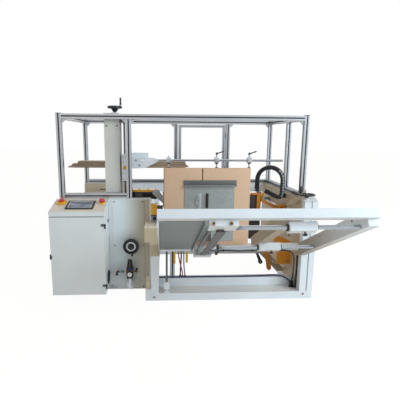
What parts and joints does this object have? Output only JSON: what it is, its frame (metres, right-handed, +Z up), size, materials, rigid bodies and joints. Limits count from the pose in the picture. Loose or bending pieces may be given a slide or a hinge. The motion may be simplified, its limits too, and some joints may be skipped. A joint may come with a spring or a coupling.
{
  "type": "case erector",
  "caption": "Carton erecting machine with control cabinet, slotted-profile guard, crank-set press head and an inclined blank magazine with pusher.",
  "frame": {"origin": "middle of the footprint on the floor", "axes": "+X along the machine to the magazine side's right end, +Y away from the operator, +Z up"},
  "size_m": [2.01, 2.0538, 1.5615],
  "materials": {
    "white_paint": "satin powder coat",
    "shade_paint": "satin powder coat",
    "profile": "anodised",
    "black_metal": "satin black",
    "black_plastic": "moulded",
    "red_plastic": "gloss",
    "grey_paint": "satin",
    "blue_grey": "satin",
    "steel": "brushed",
    "rod": "polished",
    "galvanised": "galvanised sheet",
    "yellow_paint": "satin",
    "orange_paint": "satin",
    "belt": "matt",
    "board": "kraft"
  },
  "bodies": {
    "machine": {"base_frame": "white_paint", "base_tray": "white_paint", "left_housing": "white_paint", "front_panel": "white_paint", "side_cover": "shade_paint", "right_wall": "shade_paint", "guard_frame": "profile", "corner_gussets": "black_metal", "hinge_leaves": "black_metal", "cabinet_shell": "white_paint", "console_screen": "black_plastic", "main_switch": "red_plastic", "stop_button": "red_plastic", "side_switch": "red_plastic", "side_vent": "black_plastic", "head_column": "grey_paint", "lift_screw": "black_metal", "belt_plate": "yellow_paint", "drive_belt": "belt", "belt_motor": "yellow_paint", "sheet_wing": "galvanised", "slot_bracket": "blue_grey", "mag_frame": "white_paint", "mag_bed": "galvanised", "mag_rods": "rod", "rod_brackets": "white_paint", "guide_strip": "galvanised", "blanks": "board", "screw_block": "white_paint", "height_screw": "black_metal", "unit_upright": "profile", "unit_bars": "yellow_paint", "wall_rod": "rod", "swing_arm": "orange_paint", "fold_plates": "orange_paint", "energy_chain": "black_plastic", "sheet_guides": "shade_paint", "wheel_boss": "steel", "air_unit": "black_plastic"},
    "guard_door": {"guard_door": "profile"},
    "cabinet_door": {"cabinet_door": "white_paint", "door_knuckles": "black_metal"},
    "press_head": {"head_carriage": "steel", "head_bracket": "grey_paint", "head_rod": "rod", "rod_clamps": "grey_paint", "drop_rods": "black_plastic", "press_ski": "grey_paint"},
    "top_crank": {"top_crank": "black_plastic"},
    "panel_wheel": {"panel_wheel": "black_plastic"},
    "column_wheel": {"column_wheel": "black_plastic"},
    "side_guide": {"slider_blocks": "white_paint", "guide_plate": "galvanised"},
    "pusher": {"pusher_plate": "galvanised", "pusher_trolley": "galvanised"}
  },
  "joints": [
    {"name": "cabinet_door_hinge", "type": "hinge", "parent": "machine", "child": "cabinet_door", "pos_m": [-0.601, -0.18814, 0.38], "axis": [0, 0, 1], "range_deg": [0, 110]},
    {"name": "guard_door_hinge", "type": "hinge", "parent": "machine", "child": "guard_door", "pos_m": [0.483, 1.01986, 1.1], "axis": [0, 0, -1], "range_deg": [0, 100]},
    {"name": "head_lift", "type": "slide", "parent": "machine", "child": "press_head", "axis": [0, 0, 1], "range_m": [-0.12, 0.15]},
    {"name": "top_crank_turn", "type": "hinge", "parent": "machine", "child": "top_crank", "pos_m": [-0.55296, 0.16286, 1.49], "axis": [0, 0, 1], "continuous": true},
    {"name": "panel_wheel_turn", "type": "hinge", "parent": "machine", "child": "panel_wheel", "pos_m": [-0.43, -0.00714, 0.397], "axis": [0, 1, 0], "continuous": true},
    {"name": "column_wheel_turn", "type": "hinge", "parent": "machine", "child": "column_wheel", "pos_m": [0.928, -0.10714, 0.83], "axis": [0, 0, 1], "continuous": true},
    {"name": "side_guide_slide", "type": "slide", "parent": "machine", "child": "side_guide", "axis": [1, 0, 0], "range_m": [0, 0.2]},
    {"name": "pusher_slide", "type": "slide", "parent": "machine", "child": "pusher", "axis": [0, -0.887, 0.4617], "range_m": [0, 0.5]}
  ]
}
